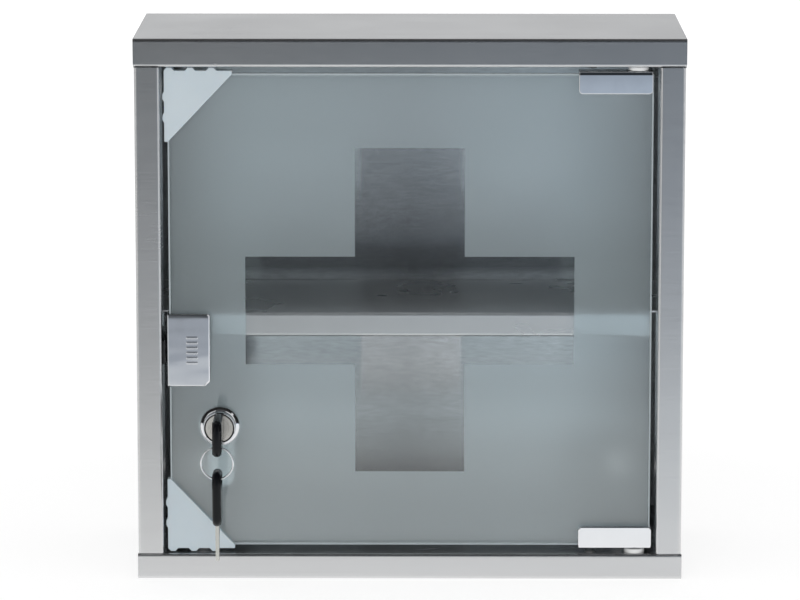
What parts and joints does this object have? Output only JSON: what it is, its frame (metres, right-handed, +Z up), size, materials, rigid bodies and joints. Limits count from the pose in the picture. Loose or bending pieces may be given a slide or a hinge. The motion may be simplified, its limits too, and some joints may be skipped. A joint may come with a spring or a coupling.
{
  "type": "lockable medicine cabinet",
  "caption": "Wall cabinet of folded sheet steel with one shelf, an inset frosted glass door with a clear cross, clip hinges, push catch and cam lock with keys.",
  "frame": {"origin": "centre of the cabinet's underside", "axes": "+X to the right of someone facing the door, -Y points at that person, +Z up; the back rests on the wall at +Y"},
  "size_m": [0.3, 0.1599, 0.3],
  "materials": {
    "steel_sheet": "horizontally brushed, satin",
    "zinc_plate": "bright zinc plate",
    "white_nylon": "moulded nylon",
    "black_plastic": "moulded, satin",
    "key_plastic": "moulded, semi gloss",
    "door_glass": "clear float glass with polished edges",
    "frosting": "etched look film, translucent",
    "chrome": "polished chrome plate",
    "lock_face": "turned, satin",
    "guard_plastic": "moulded, satin, pale blue grey",
    "gasket_rubber": "matt",
    "key_metal": "nickel plated brass"
  },
  "bodies": {
    "cabinet": {"top_panel": "steel_sheet", "bottom_panel": "steel_sheet", "left_side_panel": "steel_sheet", "right_side_panel": "steel_sheet", "back_panel": "steel_sheet", "shelf": "steel_sheet", "upper_hinge_plate": "zinc_plate", "lower_hinge_plate": "zinc_plate", "hinge_plate_rivets": "zinc_plate", "upper_hinge_bush": "white_nylon", "lower_hinge_bush": "white_nylon", "latch_bracket": "black_plastic", "latch_screws": "zinc_plate", "latch_housing": "black_plastic", "latch_spring": "zinc_plate"},
    "catch_plunger": {"latch_plunger": "black_plastic", "latch_magnet": "zinc_plate"},
    "door": {"door_glass": "door_glass", "frosted_film": "frosting", "upper_hinge_clip": "chrome", "lower_hinge_clip": "chrome", "upper_hinge_pin": "chrome", "lower_hinge_pin": "chrome", "hinge_pads": "black_plastic", "hinge_grub_screws": "zinc_plate", "push_plate": "chrome", "push_plate_pads": "black_plastic", "push_plate_grub_screws": "zinc_plate", "upper_corner_guard": "guard_plastic", "lower_corner_guard": "guard_plastic", "lock_body": "chrome", "lock_gasket": "gasket_rubber", "lock_washer": "zinc_plate", "lock_nut": "zinc_plate"},
    "lock_rotor": {"lock_plug": "lock_face", "wafer_tumblers": "key_metal", "lock_cam": "zinc_plate", "cam_washer": "zinc_plate", "cam_screw": "zinc_plate"},
    "key": {"key_blade": "key_metal", "key_bow": "key_plastic"},
    "ring": {"key_ring": "chrome"},
    "spare_key": {"spare_key_blade": "key_metal", "spare_key_bow": "key_plastic"}
  },
  "joints": [
    {"name": "door_hinge", "type": "hinge", "parent": "cabinet", "child": "door", "pos_m": [0.124, -0.0535, 0.15], "axis": [0, 0, 1], "range_deg": [0, 110]},
    {"name": "catch_press", "type": "slide", "parent": "cabinet", "child": "catch_plunger", "axis": [0, 1, 0], "range_m": [0, 0.004], "stiffness_N_per_m": 300, "springref_m": -0.008, "deforming": ["latch_spring"]},
    {"name": "lock_turn", "type": "hinge", "parent": "door", "child": "lock_rotor", "pos_m": [-0.1044, -0.06, 0.0856], "axis": [0, 1, 0], "range_deg": [0, 90]},
    {"name": "key_pull", "type": "slide", "parent": "lock_rotor", "child": "key", "axis": [0, -1, 0], "range_m": [0, 0.024]},
    {"name": "ring_hang", "type": "hinge", "parent": "key", "child": "ring", "pos_m": [-0.1044, -0.0899, 0.0771], "axis": [0, 1, 0], "range_deg": [-90, 0]},
    {"name": "spare_swing", "type": "hinge", "parent": "ring", "child": "spare_key", "pos_m": [-0.1044, -0.0899, 0.06282], "axis": [1, 0, 0], "range_deg": [-30, 30]}
  ],
  "couplings": [
    {"joint": "ring_hang", "follows": "lock_turn", "ratio": -1}
  ]
}
